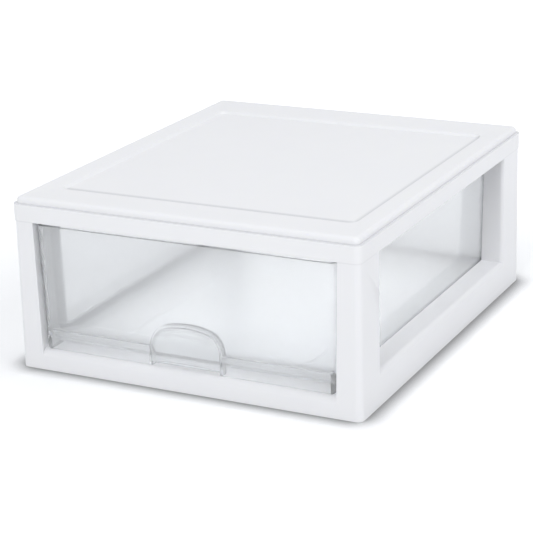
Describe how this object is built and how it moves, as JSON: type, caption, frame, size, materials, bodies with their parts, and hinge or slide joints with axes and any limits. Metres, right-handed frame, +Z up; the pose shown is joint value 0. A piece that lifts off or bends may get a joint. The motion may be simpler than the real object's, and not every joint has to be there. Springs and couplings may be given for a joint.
{
  "type": "stackable drawer box",
  "caption": "Stackable storage box: a white frame with open windows and a recessed top, and one clear drawer with a moulded cup pull that slides out of the front.",
  "frame": {"origin": "on the ground, under the middle of the box", "axes": "+X to the box's right seen from the front, -Y out of the front where the drawer opens, +Z up"},
  "size_m": [0.365, 0.432, 0.174],
  "materials": {
    "white_frame": "satin injection-moulded polypropylene",
    "white_cover": "satin injection-moulded polypropylene",
    "clear_drawer": "clear injection-moulded plastic, faintly milky"
  },
  "bodies": {
    "frame": {"base_frame": "white_frame", "top_cover": "white_cover"},
    "drawer": {"drawer": "clear_drawer"}
  },
  "joints": [
    {"name": "drawer_slide", "type": "slide", "parent": "frame", "child": "drawer", "axis": [0, -1, 0], "range_m": [0, 0.339]}
  ]
}
